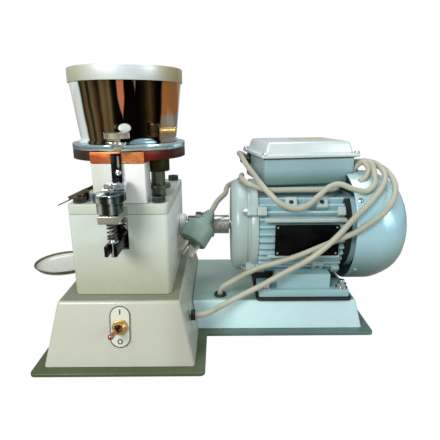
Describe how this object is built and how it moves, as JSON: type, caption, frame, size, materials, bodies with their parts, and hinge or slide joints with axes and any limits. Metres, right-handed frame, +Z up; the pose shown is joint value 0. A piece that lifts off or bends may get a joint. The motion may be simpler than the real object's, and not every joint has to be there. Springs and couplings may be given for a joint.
{
  "type": "tablet press",
  "caption": "Bench-top electric tablet press: round hopper with lid on a bronze die plate, painted gear case with a front lift lever, and a foot-mounted finned motor on a stepped base.",
  "frame": {"origin": "on the floor, under the hopper's axis", "axes": "+Z up, +X from the gear case towards the motor, +Y towards the back"},
  "size_m": [0.4377, 0.2438, 0.2885],
  "materials": {
    "base_paint": "pale grey paint with a slight green tint",
    "case_paint": "pale grey paint, satin",
    "column_paint": "near-white paint",
    "motor_paint": "light blue-grey paint over cast metal",
    "bronze": "turned bronze, orange to dark red",
    "polished_steel": "polished stainless steel",
    "turned_aluminium": "brushed in circles",
    "black_steel": "blackened steel",
    "bare_steel": "bare machined steel",
    "nickel": "pale nickel plate",
    "brass": "turned brass",
    "rubber": "black rubber",
    "red_rubber": "reddish brown rubber",
    "cable_grey": "warm grey cable sheath",
    "plug_green": "grey-green moulded rubber plug"
  },
  "bodies": {
    "frame_body": {"base_plate": "base_paint", "pedestal": "base_paint", "motor_platform": "base_paint", "switch_plate": "column_paint", "switch_nut": "brass", "cable_clip": "rubber", "cable_grommet": "rubber", "gearbox_housing": "case_paint", "gearbox_lid": "case_paint", "lid_screw_front_left": "nickel", "lid_screw_front_right": "nickel", "lid_screw_rear_left": "nickel", "lid_screw_rear_right": "nickel", "side_bearing": "case_paint", "press_column": "column_paint", "die_plate": "bronze", "hopper_ring": "polished_steel", "feed_boss": "bronze", "knob_bracket": "polished_steel", "guide_block": "bare_steel", "rod_spring": "bare_steel", "nameplate": "black_steel", "lever_pivot": "bare_steel", "chute": "polished_steel", "tray_bracket": "bare_steel", "motor_housing": "motor_paint", "end_shield": "motor_paint", "fan_cover": "motor_paint", "terminal_box": "motor_paint", "terminal_lid": "motor_paint", "motor_mat": "rubber", "supply_cable": "cable_grey", "platform_cable": "cable_grey", "mains_lead": "cable_grey", "terminal_cable": "cable_grey", "plug_body": "plug_green", "plug_pins": "bare_steel"},
    "toggle": {"toggle_lever": "nickel"},
    "drive_line": {"worm_shaft": "bare_steel", "coupling_case_half": "black_steel", "coupling_disc": "red_rubber", "coupling_motor_half": "bare_steel", "motor_shaft": "bare_steel", "cooling_fan": "rubber"},
    "cam_train": {"cam_shaft": "bare_steel", "worm_wheel": "bronze"},
    "feed_train": {"feed_shaft": "bare_steel"},
    "dial_train": {"feed_dial": "polished_steel", "agitator": "polished_steel"},
    "punch": {"lower_punch": "polished_steel"},
    "hopper_body": {"hopper": "polished_steel"},
    "thumb_screw_body": {"thumb_screw": "brass"},
    "lid_body": {"hopper_lid": "turned_aluminium"},
    "knob": {"adjust_knob": "nickel"},
    "rocker": {"rocker_lever": "black_steel"},
    "lift": {"slide_strip": "black_steel", "clamp_block": "polished_steel", "lift_rod": "polished_steel"},
    "cup": {"adjust_cup": "polished_steel"},
    "tray": {"catch_tray": "polished_steel"}
  },
  "joints": [
    {"name": "toggle_flip", "type": "hinge", "parent": "frame_body", "child": "toggle", "pos_m": [-0.0042, -0.07858, 0.04382], "axis": [-1, 0, 0], "range_deg": [0, 22]},
    {"name": "motor_spin", "type": "hinge", "parent": "frame_body", "child": "drive_line", "pos_m": [0, 0.055, 0.11], "axis": [1, 0, 0], "continuous": true},
    {"name": "cam_spin", "type": "hinge", "parent": "frame_body", "child": "cam_train", "pos_m": [0.004, 0, 0.136], "axis": [0, 1, 0], "continuous": true},
    {"name": "feed_spin", "type": "hinge", "parent": "frame_body", "child": "feed_train", "pos_m": [0.0304, -0.015, 0], "axis": [0, 0, 1], "continuous": true},
    {"name": "dial_spin", "type": "hinge", "parent": "frame_body", "child": "dial_train", "pos_m": [0, 0, 0], "axis": [0, 0, 1], "continuous": true},
    {"name": "punch_slide", "type": "slide", "parent": "frame_body", "child": "punch", "axis": [0, 0, 1], "range_m": [0, 0.006]},
    {"name": "hopper_lift", "type": "slide", "parent": "frame_body", "child": "hopper_body", "axis": [0, 0, 1], "range_m": [0, 0.05]},
    {"name": "lid_lift", "type": "slide", "parent": "hopper_body", "child": "lid_body", "axis": [0, 0, 1], "range_m": [0, 0.05]},
    {"name": "thumb_screw_turn", "type": "hinge", "parent": "hopper_body", "child": "thumb_screw_body", "pos_m": [0.0383, -0.0423, 0.23], "axis": [1, 0, 0], "range_deg": [-180, 180]},
    {"name": "knob_turn", "type": "hinge", "parent": "frame_body", "child": "knob", "pos_m": [0.003, -0.066, 0], "axis": [0, 0, 1], "range_deg": [-180, 180]},
    {"name": "lever_tilt", "type": "hinge", "parent": "frame_body", "child": "rocker", "pos_m": [-0.003, -0.04, 0.114], "axis": [-1, 0, 0], "range_deg": [0, 5.2]},
    {"name": "lift_slide", "type": "slide", "parent": "frame_body", "child": "lift", "axis": [0, 0, 1], "range_m": [0, 0.0042], "deforming": ["rod_spring"]},
    {"name": "cup_turn", "type": "hinge", "parent": "lift", "child": "cup", "pos_m": [-0.003, -0.084, 0], "axis": [0, 0, 1], "range_deg": [-180, 180]},
    {"name": "tray_lift", "type": "slide", "parent": "frame_body", "child": "tray", "axis": [0, 0, 1], "range_m": [0, 0.025]}
  ],
  "couplings": [
    {"joint": "cam_spin", "follows": "motor_spin", "ratio": 0.033333},
    {"joint": "feed_spin", "follows": "motor_spin", "ratio": 0.066667},
    {"joint": "dial_spin", "follows": "motor_spin", "ratio": -0.02619},
    {"joint": "lever_tilt", "follows": "lift_slide", "rad_per_m": 20.833}
  ]
}
